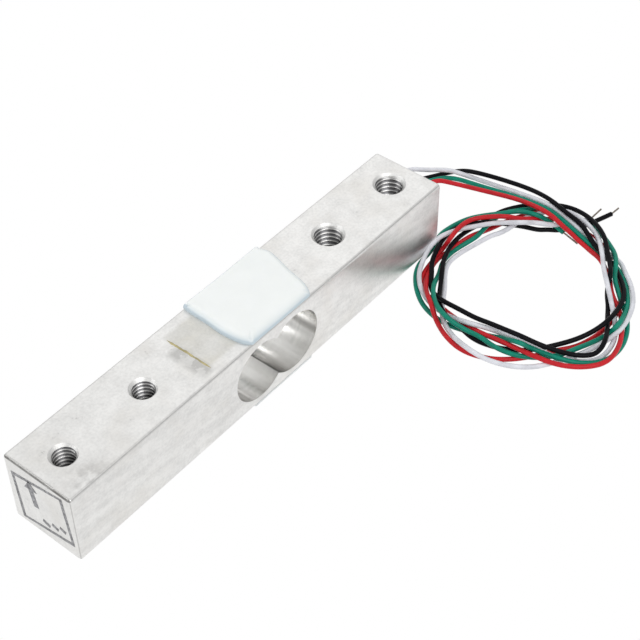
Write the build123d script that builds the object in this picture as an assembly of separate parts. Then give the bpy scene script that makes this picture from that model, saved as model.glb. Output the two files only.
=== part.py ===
from build123d import *
import os
from math import cos, pi, radians, sin, tan

# Bar load cell: a machined aluminium bar with a twin bore, strain gauges under
# white silicone, and four insulated leads that lie in a loose coil.
# Millimetres. The origin is on the surface the cell lies on, under the middle of
# the bar. +X points to the cable end, +Y to the side the leads leave, +Z up.

# Bar
BAR_LENGTH = 80.0
BAR_WIDTH = 12.7
BAR_HEIGHT = 12.7
BAR_EDGE_BREAK = 0.3
SILICONE_THICKNESS = 1.0

BAR_BOTTOM = SILICONE_THICKNESS
BAR_TOP = BAR_BOTTOM + BAR_HEIGHT
BAR_MIDDLE = BAR_BOTTOM + BAR_HEIGHT / 2
BACK_FACE = BAR_WIDTH / 2

# Twin bore that leaves the two thin walls the gauges sit on
BORE_RADIUS = 5.15
BORE_SPACING = 7.4
BORE_OFFSET = 0.65

# Tapped mounting holes, as drilled, with the countersinks at both mouths
HOLE_END_DISTANCE = 5.0
HOLE_PITCH = 15.0
M5_DRILL_RADIUS = 2.1
M5_SINK_RADIUS = 3.0
M4_DRILL_RADIUS = 1.65
M4_SINK_RADIUS = 2.45

# Silicone on the top and the bottom: where its edges cross the bar's edges
SILICONE_NEAR = -5.0
SILICONE_NEAR_BULGE = 0.7
SILICONE_FAR_FRONT = 8.2
SILICONE_FAR_MIDDLE = 10.3
SILICONE_FAR_SHOULDER = 11.6
SILICONE_FAR_BACK = 10.8
SILICONE_MIDDLE_Y = -0.65
SILICONE_SHOULDER_Y = 4.2
SILICONE_RIM = 0.45

# Silicone on the back face, with one arm to the top and one to the bottom
SIDE_SILICONE_DEPTH = 1.85
SIDE_SILICONE_START = 10.2
SIDE_SILICONE_END = 18.0
SIDE_SILICONE_MARGIN = 1.3
SIDE_ARM_START = 7.6
SIDE_ARM_DROP = 2.4
SIDE_ARM_CLEARANCE = 0.15
SIDE_SHOULDER = 0.4
SIDE_SHOULDER_DROP = 1.0
SIDE_WAIST = 2.2
SIDE_BLOCK_STEP = 1.2
SIDE_NARROWING = 0.6
SIDE_ROUNDING = 0.5

# Strain gauges
FILM_LENGTH = 3.7
FILM_WIDTH = 6.6
FILM_THICKNESS = 0.1
FOIL_THICKNESS = 0.05
GRID_LEGS = 8
GRID_LEG_LENGTH = 3.0
GRID_LEG_WIDTH = 0.18
GRID_LEG_GAP = 0.16
TAB_LENGTH = 0.95
TAB_WIDTH = 0.8
TAB_SPACING = 1.8
TAB_MARGIN = 0.3
TAB_OFFSET = 0.7
GAUGE_SOLDER_RADIUS = 0.36

# Thin insulated wires from the gauges to the terminal board
LINK_DIAMETER = 0.3
LINK_BEND = 0.4
LINK_LAYER = 0.34
WIRE_LIFT = 0.02

# Terminal board on the back face, inside the silicone
BOARD_LENGTH = 5.0
BOARD_THICKNESS = 0.5
BOARD_START = 11.2
BOARD_DROP = 0.6
BOARD_MARGIN = 1.2
PAD_PITCH = 1.8
PAD_THICKNESS = 0.06
PAD_HEIGHT = 1.0
PAD_MARGIN = 0.35
PAD_COUNT = 4
BOARD_SOLDER_RADIUS = 0.8
SOLDER_INSET = 1.0

# Leads
LEAD_DIAMETER = 0.9
CORE_DIAMETER = 0.45
LEAD_STRIP_LENGTH = 1.3
LEAD_STRAIGHT = 4.2
COIL_CENTRE = (44.0, -24.0)
COIL_HEIGHT = 2.9
COIL_ROUNDING = 0.7

# Outer and inner radius of the loose coil, every 30 degrees from +X
COIL_OUTER = [15.3, 16.9, 16.6, 17.0, 19.4, 20.7, 22.2, 20.9, 21.0, 16.3, 13.9, 12.9]
COIL_INNER = [9.7, 9.9, 11.2, 11.6, 14.2, 16.2, 14.2, 15.0, 13.8, 11.0, 9.2, 9.0]

# Heights on the back face
FOIL_TOP = BAR_TOP + FILM_THICKNESS + FOIL_THICKNESS
FOIL_BOTTOM = BAR_BOTTOM - FILM_THICKNESS - FOIL_THICKNESS
LINK_TOP = FOIL_TOP + WIRE_LIFT + LINK_DIAMETER / 2
LINK_BOTTOM = FOIL_BOTTOM - WIRE_LIFT - LINK_DIAMETER / 2
PAD_FACE = BACK_FACE + BOARD_THICKNESS + PAD_THICKNESS
LINK_BACK = PAD_FACE + WIRE_LIFT + LINK_DIAMETER / 2
LEAD_BACK = PAD_FACE + WIRE_LIFT + LEAD_DIAMETER / 2
BOARD_CENTRE_Z = BAR_MIDDLE - BOARD_DROP
BOARD_END = BOARD_START + BOARD_LENGTH
LEFT_SOLDER = BOARD_START + SOLDER_INSET
RIGHT_SOLDER = BOARD_END - SOLDER_INSET
LEAD_START = RIGHT_SOLDER + LEAD_STRIP_LENGTH
GAUGE_X = {
    "near": BORE_OFFSET - BORE_SPACING / 2,
    "far": BORE_OFFSET + BORE_SPACING / 2,
}
PAD_ORDER = ["red", "green", "black", "white"]


def pad_height(colour):
    """Height of the pad that this colour of lead is soldered to."""
    return BOARD_CENTRE_Z + ((PAD_COUNT - 1) / 2 - PAD_ORDER.index(colour)) * PAD_PITCH


def tube(points, diameter, radii):
    """A round wire along straight runs joined by tangent arcs."""
    path = FilletPolyline(*points, radius=radii)
    start = Plane(path @ 0, z_dir=path % 0)
    return sweep(start * Circle(diameter / 2), path=path), path.length


def rod(start, end, diameter):
    """A straight round bar between two points."""
    a = Vector(*start)
    b = Vector(*end)
    return extrude(Plane(a, z_dir=b - a) * Circle(diameter / 2), amount=(b - a).length)


# Bar
def make_bar():
    bar = Pos(0, 0, BAR_MIDDLE) * Box(BAR_LENGTH, BAR_WIDTH, BAR_HEIGHT)
    bar = chamfer(bar.edges(), BAR_EDGE_BREAK)
    for centre in GAUGE_X.values():
        bar -= Pos(centre, 0, BAR_MIDDLE) * Rot(90, 0, 0) * Cylinder(BORE_RADIUS, 2 * BAR_WIDTH)
    for side, drill, sink in (
        (1, M5_DRILL_RADIUS, M5_SINK_RADIUS),
        (-1, M4_DRILL_RADIUS, M4_SINK_RADIUS),
    ):
        for row in range(2):
            x = side * (BAR_LENGTH / 2 - HOLE_END_DISTANCE - row * HOLE_PITCH)
            depth = sink - drill
            bar -= Pos(x, 0, BAR_MIDDLE) * Cylinder(drill, 2 * BAR_HEIGHT)
            bar -= Pos(x, 0, BAR_TOP - depth / 2) * Cone(drill, sink, depth)
            bar -= Pos(x, 0, BAR_BOTTOM + depth / 2) * Cone(sink, drill, depth)
    return bar


# Gauges
def gauge_film(x, outward):
    """Backing film bonded to the thin wall; outward is 1 on top and -1 below."""
    face = BAR_TOP if outward > 0 else BAR_BOTTOM
    return Pos(x, 0, face + outward * FILM_THICKNESS / 2) * Box(FILM_LENGTH, FILM_WIDTH, FILM_THICKNESS)


def gauge_grid(x, outward):
    """Foil grid: parallel legs joined at alternate ends, with a solder tab at each end."""
    pitch = GRID_LEG_WIDTH + GRID_LEG_GAP
    half = (GRID_LEGS - 1) * pitch / 2
    outline = Sketch()
    for leg in range(GRID_LEGS):
        outline += Pos(leg * pitch - half, 0) * Rectangle(GRID_LEG_WIDTH, GRID_LEG_LENGTH)
    for turn in range(GRID_LEGS - 1):
        end = -1 if turn % 2 == 0 else 1
        y = end * (GRID_LEG_LENGTH - GRID_LEG_WIDTH) / 2
        outline += Pos((turn + 0.5) * pitch - half, y) * Rectangle(pitch + GRID_LEG_WIDTH, GRID_LEG_WIDTH)
    outline = Pos(0, -TAB_OFFSET) * outline
    grid_end = GRID_LEG_LENGTH / 2 - TAB_OFFSET
    tab_start = tab_y() - TAB_WIDTH / 2
    for side in (-1, 1):
        outline += Pos(side * TAB_SPACING / 2, tab_y()) * Rectangle(TAB_LENGTH, TAB_WIDTH)
        outline += Pos(side * half, (grid_end + tab_start) / 2) * Rectangle(
            GRID_LEG_WIDTH, tab_start - grid_end + GRID_LEG_WIDTH
        )
    base = BAR_TOP + FILM_THICKNESS if outward > 0 else FOIL_BOTTOM
    return Pos(x, 0, base) * extrude(outline, amount=FOIL_THICKNESS)


def tab_y():
    """Middle of the solder tabs, towards the back edge of the bar."""
    return FILM_WIDTH / 2 - TAB_WIDTH / 2 - TAB_MARGIN


def tab_x(gauge, side):
    """Middle of one solder tab of a gauge."""
    return GAUGE_X[gauge] + side * TAB_SPACING / 2


# Each link wire: face, colour, gauge, tab side, row on the face, place where it
# crosses the bar's edge, depth of its row on the back face, place where it turns
# along the board, layer, and shift from the middle of its pad.
LINKS = [
    (1, "black", "near", -1, 5.2, 8.2, 2.1, 10.55, 0, 0.2),
    (1, "green", "far", -1, 4.4, 9.25, 1.5, 10.95, 0, 0.2),
    (1, "red", "far", 1, 3.6, 10.3, 0.9, 11.35, 0, 0.2),
    (-1, "red", "near", -1, 5.2, 8.2, 2.1, 10.55, 1, -0.2),
    (-1, "white", "far", -1, 4.4, 9.25, 1.5, 10.95, 1, -0.2),
    (-1, "black", "far", 1, 3.6, 10.3, 0.9, 11.35, 0, -0.2),
]


def link_wire(face, colour, gauge, side, row, cross, depth, turn, layer, shift):
    """A thin wire from a gauge tab, over the bar's back edge, to its pad."""
    level = LINK_TOP if face > 0 else LINK_BOTTOM
    back = LINK_BACK + layer * LINK_LAYER
    lane = BAR_TOP - depth if face > 0 else BAR_BOTTOM + depth
    pad = pad_height(colour) + shift
    points = [
        (tab_x(gauge, side), tab_y(), level),
        (tab_x(gauge, side), row, level),
        (cross, row, level),
        (cross, back, level),
        (cross, back, lane),
        (turn, back, lane),
        (turn, back, pad),
        (LEFT_SOLDER, back, pad),
    ]
    return tube(points, LINK_DIAMETER, LINK_BEND)[0]


def gauge_jumper(outward):
    """The short wire that joins the facing tabs of the two gauges on one face."""
    level = LINK_TOP if outward > 0 else LINK_BOTTOM
    reach = TAB_LENGTH / 2 - LINK_DIAMETER
    y = tab_y() - LINK_DIAMETER
    return rod((tab_x("near", 1) - reach, y, level), (tab_x("far", -1) + reach, y, level), LINK_DIAMETER)


def gauge_solder(outward):
    """Solder domes on the four tabs of one face."""
    base = FOIL_TOP if outward > 0 else FOIL_BOTTOM
    slab = Pos(0, 0, base + outward * BAR_HEIGHT / 2) * Box(BAR_LENGTH, BAR_WIDTH, BAR_HEIGHT)
    domes = [
        Pos(tab_x(gauge, side), tab_y(), base) * Sphere(GAUGE_SOLDER_RADIUS) & slab
        for gauge in GAUGE_X
        for side in (-1, 1)
    ]
    return domes


# Terminal board
def board_solid():
    height = (PAD_COUNT - 1) * PAD_PITCH + 2 * BOARD_MARGIN
    return Pos(BOARD_START + BOARD_LENGTH / 2, BACK_FACE + BOARD_THICKNESS / 2, BOARD_CENTRE_Z) * Box(
        BOARD_LENGTH, BOARD_THICKNESS, height
    )


def board_pads():
    centre = BOARD_START + BOARD_LENGTH / 2
    y = PAD_FACE - PAD_THICKNESS / 2
    return [
        Pos(centre, y, pad_height(colour)) * Box(BOARD_LENGTH - 2 * PAD_MARGIN, PAD_THICKNESS, PAD_HEIGHT)
        for colour in PAD_ORDER
    ]


def board_solder():
    slab = Pos(BOARD_START, PAD_FACE + BAR_WIDTH / 2, BAR_MIDDLE) * Box(BAR_LENGTH, BAR_WIDTH, BAR_HEIGHT)
    return [
        Pos(x, PAD_FACE, pad_height(colour)) * Sphere(BOARD_SOLDER_RADIUS) & slab
        for colour in PAD_ORDER
        for x in (LEFT_SOLDER, RIGHT_SOLDER)
    ]


def inner_core(colour):
    """The stripped inner end of a lead, lying in its solder on the board."""
    z = pad_height(colour)
    return rod((RIGHT_SOLDER, LEAD_BACK, z), (LEAD_START, LEAD_BACK, z), CORE_DIAMETER)


# Leads: from the board, out of the silicone, along the back and round to the coil
LEAD_ROUTES = {
    "red": [
        (27.6, 7.3, 7.9),
        (34.8, 7.4, 5.2),
        (41.6, 7.0, 2.5),
        (47.9, 4.9, 0.9),
        (52.3, 0.4, 0.5),
        (54.3, -5.9, 0.9),
        (55.2, -12.0, 1.8),
        (55.0, -16.5, 2.3),
    ],
    "green": [
        (27.2, 7.7, 6.6),
        (34.1, 8.2, 4.3),
        (41.0, 8.1, 2.0),
        (47.6, 6.5, 0.7),
        (53.0, 2.2, 0.5),
        (55.7, -4.4, 0.9),
        (56.4, -11.2, 1.6),
        (56.9, -16.2, 2.3),
    ],
    "black": [
        (26.8, 8.3, 5.3),
        (33.6, 9.2, 3.3),
        (40.6, 9.4, 1.4),
        (47.7, 8.2, 0.6),
        (53.9, 3.6, 0.5),
        (57.6, -2.6, 0.6),
        (59.4, -9.2, 1.2),
        (59.3, -14.6, 2.1),
    ],
    "white": [
        (26.5, 8.9, 4.1),
        (33.1, 10.2, 2.6),
        (40.2, 10.9, 1.1),
        (47.3, 10.1, 0.9),
        (53.0, 6.2, 1.8),
        (56.0, 0.2, 1.9),
        (57.3, -6.8, 1.2),
        (58.0, -13.4, 2.1),
    ],
}


def corner_radii(points):
    """The largest tangent arcs that the two runs at each corner allow."""
    radii = []
    for a, b, c in zip(points, points[1:], points[2:]):
        before = Vector(*b) - Vector(*a)
        after = Vector(*c) - Vector(*b)
        turn = radians(before.get_angle(after))
        radii.append(0.45 * min(before.length, after.length) / tan(turn / 2))
    return radii


def lead_tube(colour):
    z = pad_height(colour)
    start = [(LEAD_START, LEAD_BACK, z), (LEAD_START + LEAD_STRAIGHT, LEAD_BACK, z)]
    points = start + LEAD_ROUTES[colour]
    radii = corner_radii(points)
    solid, length = tube(points, LEAD_DIAMETER, radii)
    ideal = length * pi * LEAD_DIAMETER**2 / 4
    print(colour, "lead: radii", [round(r, 1) for r in radii], "length", round(length, 1))
    print(colour, "lead: volume over section times length", round(solid.volume / ideal, 4))
    return solid


def coil_ring():
    """Outer shape of the loose coil that the four leads lie in."""
    step = 360 / len(COIL_OUTER)

    def loop(radii):
        points = [
            (COIL_CENTRE[0] + r * cos(radians(i * step)), COIL_CENTRE[1] + r * sin(radians(i * step)))
            for i, r in enumerate(radii)
        ]
        return make_face(Spline(*points, periodic=True))

    ring = extrude(loop(COIL_OUTER) - loop(COIL_INNER), amount=COIL_HEIGHT)
    top = ring.faces().sort_by(Axis.Z)[-1]
    return chamfer(top.edges(), COIL_ROUNDING)


# Free ends of the leads: where the insulation stops and where the bare strands end
LEAD_ENDS = {
    "red": ((53.3, -15.4, 2.9), (55.6, -16.1, 2.9)),
    "green": ((53.3, -20.4, 1.6), (52.6, -24.6, 1.2)),
    "black": ((61.2, -24.7, 1.7), (64.2, -25.1, 1.3)),
    "white": ((57.6, -23.2, 2.0), (62.2, -23.0, 1.7)),
}
BLACK_TAIL_START = (57.0, -23.6, 2.1)


# Silicone
def silicone_outline():
    half = BAR_WIDTH / 2
    near = ThreePointArc(
        (SILICONE_NEAR, half), (SILICONE_NEAR - SILICONE_NEAR_BULGE, 0), (SILICONE_NEAR, -half)
    )
    front = Line((SILICONE_NEAR, -half), (SILICONE_FAR_FRONT, -half))
    far = ThreePointArc(
        (SILICONE_FAR_FRONT, -half),
        (SILICONE_FAR_MIDDLE, SILICONE_MIDDLE_Y),
        (SILICONE_FAR_SHOULDER, SILICONE_SHOULDER_Y),
    )
    shoulder = Line((SILICONE_FAR_SHOULDER, SILICONE_SHOULDER_Y), (SILICONE_FAR_BACK, half))
    back = Line((SILICONE_FAR_BACK, half), (SILICONE_NEAR, half))
    return make_face(near + front + far + shoulder + back)


def silicone_cap(outward):
    """The rounded cushion of silicone on one face of the bar."""
    base = BAR_TOP if outward > 0 else BAR_BOTTOM
    cap = Pos(0, 0, base) * extrude(silicone_outline(), amount=outward * SILICONE_THICKNESS)
    crown = cap.faces().sort_by(Axis.Z)[-1 if outward > 0 else 0]
    return chamfer(crown.edges(), SILICONE_RIM)


def side_silicone_block():
    """The silicone on the back face, beside the twin bore, with its two arms."""
    reach = (PAD_COUNT - 1) * PAD_PITCH / 2 + SIDE_SILICONE_MARGIN
    top = BAR_TOP + SILICONE_THICKNESS - SIDE_ARM_CLEARANCE
    bottom = BAR_BOTTOM - SILICONE_THICKNESS + SIDE_ARM_CLEARANCE
    outline = Polyline(
        (SIDE_ARM_START, top),
        (SIDE_SILICONE_START, top),
        (SIDE_SILICONE_START + SIDE_SHOULDER, BAR_TOP - SIDE_SHOULDER_DROP),
        (BOARD_START + SIDE_BLOCK_STEP, BOARD_CENTRE_Z + reach),
        (SIDE_SILICONE_END, BOARD_CENTRE_Z + reach - SIDE_NARROWING),
        (SIDE_SILICONE_END, BOARD_CENTRE_Z - reach + SIDE_NARROWING),
        (BOARD_START + SIDE_BLOCK_STEP, BOARD_CENTRE_Z - reach),
        (SIDE_SILICONE_START + SIDE_SHOULDER, BAR_BOTTOM + SIDE_SHOULDER_DROP),
        (SIDE_SILICONE_START, bottom),
        (SIDE_ARM_START, bottom),
        (SIDE_ARM_START, BAR_BOTTOM + SIDE_ARM_DROP),
        (SIDE_SILICONE_START - SIDE_SHOULDER, BAR_MIDDLE - SIDE_WAIST),
        (SIDE_SILICONE_START - SIDE_SHOULDER, BAR_MIDDLE + SIDE_WAIST),
        (SIDE_ARM_START, BAR_TOP - SIDE_ARM_DROP),
        close=True,
    )
    face = Plane.XZ * make_face(outline)
    block = Pos(0, BACK_FACE, 0) * extrude(face, amount=-SIDE_SILICONE_DEPTH)
    outer = block.faces().sort_by(Axis.Y)[-1]
    return chamfer(outer.edges(), SIDE_ROUNDING)


parts = {"bar": make_bar()}

for face_name, outward in (("top", 1), ("bottom", -1)):
    for gauge, x in GAUGE_X.items():
        parts[f"{face_name}_{gauge}_gauge_film"] = gauge_film(x, outward)
        parts[f"{face_name}_{gauge}_gauge_grid"] = gauge_grid(x, outward)
    parts[f"{face_name}_gauge_jumper"] = gauge_jumper(outward)

for link in LINKS:
    face_name = "top" if link[0] > 0 else "bottom"
    parts[f"{face_name}_{link[1]}_link_wire"] = link_wire(*link)

for face_name, outward in (("top", 1), ("bottom", -1)):
    parts[f"{face_name}_gauge_solder"] = gauge_solder(outward)

parts["terminal_board"] = board_solid()
parts["terminal_pads"] = board_pads()
parts["board_solder"] = board_solder()
domes = parts["top_gauge_solder"] + parts["bottom_gauge_solder"] + parts["board_solder"]
cores = [inner_core(colour) for colour in PAD_ORDER]
wires = {name: parts[name] for name in parts if name.endswith(("_link_wire", "_jumper"))}
for name, wire in wires.items():
    parts[name] = wire - domes
parts["lead_inner_ends"] = [core - domes for core in cores]

coil = coil_ring()
black_tail = rod(BLACK_TAIL_START, LEAD_ENDS["black"][0], LEAD_DIAMETER)
leads = {}
for colour in PAD_ORDER:
    leads[colour] = lead_tube(colour)
    parts[f"{colour}_lead"] = leads[colour] - coil
    ends = rod(*LEAD_ENDS[colour], CORE_DIAMETER)
    if colour == "red":
        coil -= ends
        parts[f"{colour}_lead_tip"] = ends
    else:
        parts[f"{colour}_lead_tip"] = ends - coil - black_tail
parts["black_lead_tail"] = black_tail - coil
parts["lead_coil"] = coil

films = [parts[name] for name in parts if name.endswith(("_film", "_grid"))]
board = [parts["terminal_board"]] + parts["terminal_pads"]
buried = films + board + domes + cores + list(wires.values()) + list(leads.values())
parts["top_silicone"] = silicone_cap(1) - buried
parts["bottom_silicone"] = silicone_cap(-1) - buried
parts["side_silicone"] = side_silicone_block() - buried

os.makedirs("parts", exist_ok=True)
for name, piece in parts.items():
    shape = Compound(children=piece) if isinstance(piece, list) else piece
    export_step(shape, f"parts/{name}.step")
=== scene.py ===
"""Looks of a bar load cell, built around its packed construction model."""

import math

import bmesh
import bpy
import numpy as np
from mathutils import Matrix, Vector, noise


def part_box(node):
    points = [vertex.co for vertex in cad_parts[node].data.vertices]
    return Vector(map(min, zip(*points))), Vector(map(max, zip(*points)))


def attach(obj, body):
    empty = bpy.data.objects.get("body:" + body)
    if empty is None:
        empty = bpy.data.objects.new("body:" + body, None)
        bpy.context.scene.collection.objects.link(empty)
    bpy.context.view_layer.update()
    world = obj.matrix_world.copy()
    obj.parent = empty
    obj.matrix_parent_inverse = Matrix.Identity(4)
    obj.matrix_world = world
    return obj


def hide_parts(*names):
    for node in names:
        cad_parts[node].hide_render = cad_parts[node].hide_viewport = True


bl_info = {
    "name": "Bar Load Cell",
    "version": (1, 0, 0),
    "blender": (4, 5, 0),
    "location": "View3D > Sidebar > Load Cell",
    "description": "Machined bar, threads, silicone, leads and stage of a small load cell",
    "category": "Object",
}

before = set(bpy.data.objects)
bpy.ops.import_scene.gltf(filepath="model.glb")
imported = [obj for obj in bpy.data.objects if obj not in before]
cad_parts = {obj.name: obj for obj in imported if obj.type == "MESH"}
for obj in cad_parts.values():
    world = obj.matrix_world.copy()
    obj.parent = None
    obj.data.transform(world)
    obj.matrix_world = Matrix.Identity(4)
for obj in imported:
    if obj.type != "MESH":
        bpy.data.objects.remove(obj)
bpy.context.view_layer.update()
MM = 0.001
BODY = "root"
BAR_LOW, BAR_HIGH = (Vector(corner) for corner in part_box("bar"))
BAR_MIDDLE = (BAR_LOW + BAR_HIGH) / 2
HALF_WIDTH = BAR_HIGH.y

# The photograph's camera: turn about the bar, height, roll, distance and aim
CAMERA_AZIMUTH = -49.987
CAMERA_ELEVATION = 45.394
CAMERA_ROLL = -0.866
CAMERA_DISTANCE = 235.73 * MM
CAMERA_AIM = Vector((14.85 * MM, -2.44 * MM, BAR_LOW.z))
CAMERA_LENS = 86.29

# Edge of the top silicone, from the front of the bar to its back, in millimetres
NEAR_EDGE = [
    (-4.4, -6.3), (-5.1, -5.3), (-5.5, -3.6), (-5.65, -1.1), (-5.45, 1.8), (-5.4, 4.7), (-5.2, 6.3)
]
FAR_EDGE = [
    (8.15, -6.3), (8.9, -5.4), (9.6, -3.7), (10.2, -0.9), (10.95, 1.8), (11.4, 4.0), (11.1, 5.4), (10.6, 6.3)
]
EDGE_POINTS = 46
SPAN_POINTS = 50
CUSHION_RINGS = 26
CUSHION_MIDDLE = Vector((2.8, 0.0))
RIM_SHARES = {"front": 1.7, "back": 0.4}
RIM_REACH = 5.9
WAVE_SCALE = 0.22
WAVE_HEIGHT = 0.07

# Silicone over the back edge of the bar: where it starts to fall, how steeply, how far
# pieces are pressed under it, and the grain, swelling and seat of the bead at the back
COVER_TOP = 0.9 * MM
COVER_START = 0.45 * MM
COVER_SLOPE = 1.6
PRESS_FROM = 1.0 * MM
PRESS_SPAN = 0.6 * MM
BEAD_GRAIN = 0.13 * MM
BEAD_SWELL = 0.42 * MM
BEAD_COVER = 0.4 * MM
BEAD_SEAT = 0.12 * MM

# Leads, in millimetres. Each has its height on the board and its hidden way along the
# back of the bar. From there on the places are as seen from the photograph's camera on
# a level SEEN_HEIGHT above the floor: the way to the coil, then the radius at every
# COIL_STEP degrees, and the free end. Layers say what lies over what, every LAYER_STEP
# degrees, and a lead that is out of the coil counts as HELD_LAYER.
LEAD_DEPTH = 7.38
LEAD_START = 16.5
LEAD_STRAIGHT = 4.2
SEEN_HEIGHT = 2.2
COIL_MIDDLE = (44.0, -24.0)
COIL_FIRST = 40.0
COIL_STEP = 20.0
COIL_GRAIN = 10.0
LAYER_FIRST = 30.0
LAYER_STEP = 30.0
HELD_LAYER = 9.0
BAR_CLEARANCE = 0.5
CLEAR_FROM = 2.6
CLEAR_WAY = 2.1
STRAND_TURN = 2.6
STRAND_START = 0.3

# How the leads settle on each other: rounds, steps up and down, steps that also sag,
# steps to the side, how far a point may go up and to the side, and the room kept
START_HEIGHT = 1.2
REST_SIZE = 1.04
NEIGHBOURS = 4
ROUNDS = 5
HEIGHT_STEPS = 260
SAG_STEPS = 180
SIDE_STEPS = 12
TALLEST = 4.2
SIDE_LIMIT = 0.45
SAG = 0.004
STIFFNESS = 0.3
LIFT = 0.45
LEADS = {
    "red": {
        "length": 0.255,
        "height": 9.45,
        "hidden": [(27.6, 7.3, 7.9), (34.8, 7.4, 5.2), (41.6, 7.0, 2.5), (47.9, 4.9, 0.9)],
        "seen": [(51.6, 2.6), (52.5, 0.4), (54.1, -4.7), (55.8, -10.5)],
        "radii": [16.0, 11.9, 10.0, 9.6, 9.7, 10.3, 11.9, 16.4, 20.7, 19.7, 17.6, 17.3,
                  18.3, 19.3, 18.1, 16.9, 16.2, 14.0, 13.2, 13.1, 12.0, 11.2, 10.9, 11.6,
                  12.9, 14.3, 15.6, 17.4, 20.0, 21.7, 20.2, 18.5, 16.8, 14.8, 13.2, 12.8],
        "first_layer": 6.5,
        "layers": [6, 4, 1, 0, 2, 4, 4, 2, 1, 1, 4, 4, 1, 1, 1, 1, 1, 1, 1, 2, 4, 2, 1, 1],
        "end": [(53.6, -14.4), (55.6, -15.8)],
        "tip": (56.8, -16.5),
    },
    "green": {
        "length": 0.266,
        "height": 7.65,
        "hidden": [(27.2, 7.7, 6.6), (34.1, 8.2, 4.3), (41.0, 8.1, 2.0), (47.6, 6.5, 0.7)],
        "seen": [(52.2, 2.6), (54.0, 0.4), (54.9, -4.1), (56.0, -9.3)],
        "radii": [16.9, 13.0, 11.0, 10.6, 11.1, 12.2, 14.0, 15.2, 16.2, 17.4, 18.3, 17.6,
                  18.2, 17.9, 16.0, 14.0, 13.3, 14.6, 15.3, 15.4, 14.4, 12.9, 11.6, 11.2,
                  12.7, 17.3, 20.1, 17.9, 15.7, 16.8, 19.6, 20.5, 19.7, 18.3, 17.0, 15.5, 13.6],
        "first_layer": 6.0,
        "layers": [5, 4, 1, 2, 4, 3, 3, 4, 4, 2, 2, 1, 1, 2, 3, 3, 1, 2, 4, 1, 1, 1, 2, 3, 2],
        "end": [(54.3, -17.6), (53.7, -21.6)],
        "tip": (53.0, -24.4),
    },
    "black": {
        "length": 0.267,
        "height": 5.85,
        "hidden": [(26.8, 8.3, 5.3), (33.6, 9.2, 3.3), (40.6, 9.4, 1.4), (47.7, 8.2, 0.6)],
        "seen": [(51.7, 3.7), (54.1, 2.3), (56.1, 0.5), (57.1, -1.5), (58.5, -5.6)],
        "radii": [20.3, 15.2, 12.2, 10.8, 11.3, 12.1, 13.1, 13.8, 14.5, 15.7, 17.5, 18.4,
                  18.2, 17.2, 16.1, 15.2, 14.7, 15.6, 16.2, 16.3, 14.7, 12.3, 10.8, 10.1,
                  10.6, 13.5, 18.9, 17.1, 14.8, 14.6, 16.3, 18.1, 17.7, 17.3, 15.8, 12.6, 10.4, 10.7],
        "first_layer": 7.0,
        "layers": [6, 5, 2, 3, 6, 3, 1, 2, 3, 3, 1, 0, 1, 5, 6, 4, 2, 5, 5, 4, 3, 3, 2, 2, 2],
        "end": [(56.6, -22.6), (59.0, -23.5), (62.2, -24.4)],
        "tip": (64.5, -25.0),
    },
    "white": {
        "length": 0.272,
        "height": 4.05,
        "hidden": [(26.5, 8.9, 4.1), (33.1, 10.2, 2.6), (40.2, 10.9, 1.1), (47.3, 10.1, 0.9)],
        "seen": [(51.2, 7.8), (52.5, 5.5), (55.1, 2.7), (55.8, 0.2), (56.7, -4.9)],
        "radii": [18.0, 14.1, 11.3, 11.1, 12.1, 13.3, 14.8, 16.1, 17.2, 18.9, 21.2, 21.0,
                  19.4, 16.6, 15.2, 12.6, 11.6, 11.9, 13.8, 15.5, 13.8, 11.3, 9.9, 9.8,
                  11.1, 14.4, 19.9, 18.6, 15.7, 15.3, 17.9, 19.3, 18.8, 17.7, 14.8, 12.5, 11.5, 11.9],
        "first_layer": 9.0,
        "layers": [5, 4, 1, 2, 5, 3, 2, 3, 2, 2, 2, 2, 2, 5, 5, 5, 3, 2, 2, 2, 2, 2, 3, 4, 3],
        "end": [(57.6, -22.0), (59.7, -22.9)],
        "tip": (62.5, -22.9),
    },
}


class BarSettings(bpy.types.PropertyGroup):
    edge: bpy.props.FloatProperty(
        name="Edge rounding",
        description="Radius of the bar's broken edges",
        default=0.5 * MM,
        unit="LENGTH",
    )
    bore_radius: bpy.props.FloatProperty(
        name="Bore radius",
        description="Radius of each half of the twin bore",
        default=5.15 * MM,
        unit="LENGTH",
    )
    bore_spacing: bpy.props.FloatProperty(
        name="Bore spacing",
        description="Distance between the two bore centres",
        default=7.4 * MM,
        unit="LENGTH",
    )
    bore_offset: bpy.props.FloatProperty(
        name="Bore offset",
        description="Place of the twin bore along the bar",
        default=0.65 * MM,
        unit="LENGTH",
    )
    hole_pitch: bpy.props.FloatProperty(
        name="Hole pitch",
        description="Distance between the holes of one pair",
        default=15 * MM,
        unit="LENGTH",
    )
    hole_margin: bpy.props.FloatProperty(
        name="Hole margin",
        description="From the end of the bar to its first hole",
        default=5 * MM,
        unit="LENGTH",
    )
    colour: bpy.props.FloatVectorProperty(
        name="Metal",
        description="Colour of the machined aluminium",
        default=(0.86, 0.855, 0.84),
        subtype="COLOR",
    )


class SiliconeSettings(bpy.types.PropertyGroup):
    thickness: bpy.props.FloatProperty(
        name="Thickness",
        description="Height of the silicone on the bar",
        default=1.0 * MM,
        unit="LENGTH",
    )
    rim: bpy.props.FloatProperty(
        name="Rim", description="Width of the rounded rim", default=1.4 * MM, unit="LENGTH"
    )
    colour: bpy.props.FloatVectorProperty(
        name="Silicone",
        description="Colour of the silicone",
        default=(0.925, 0.96, 0.95),
        subtype="COLOR",
    )


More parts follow.
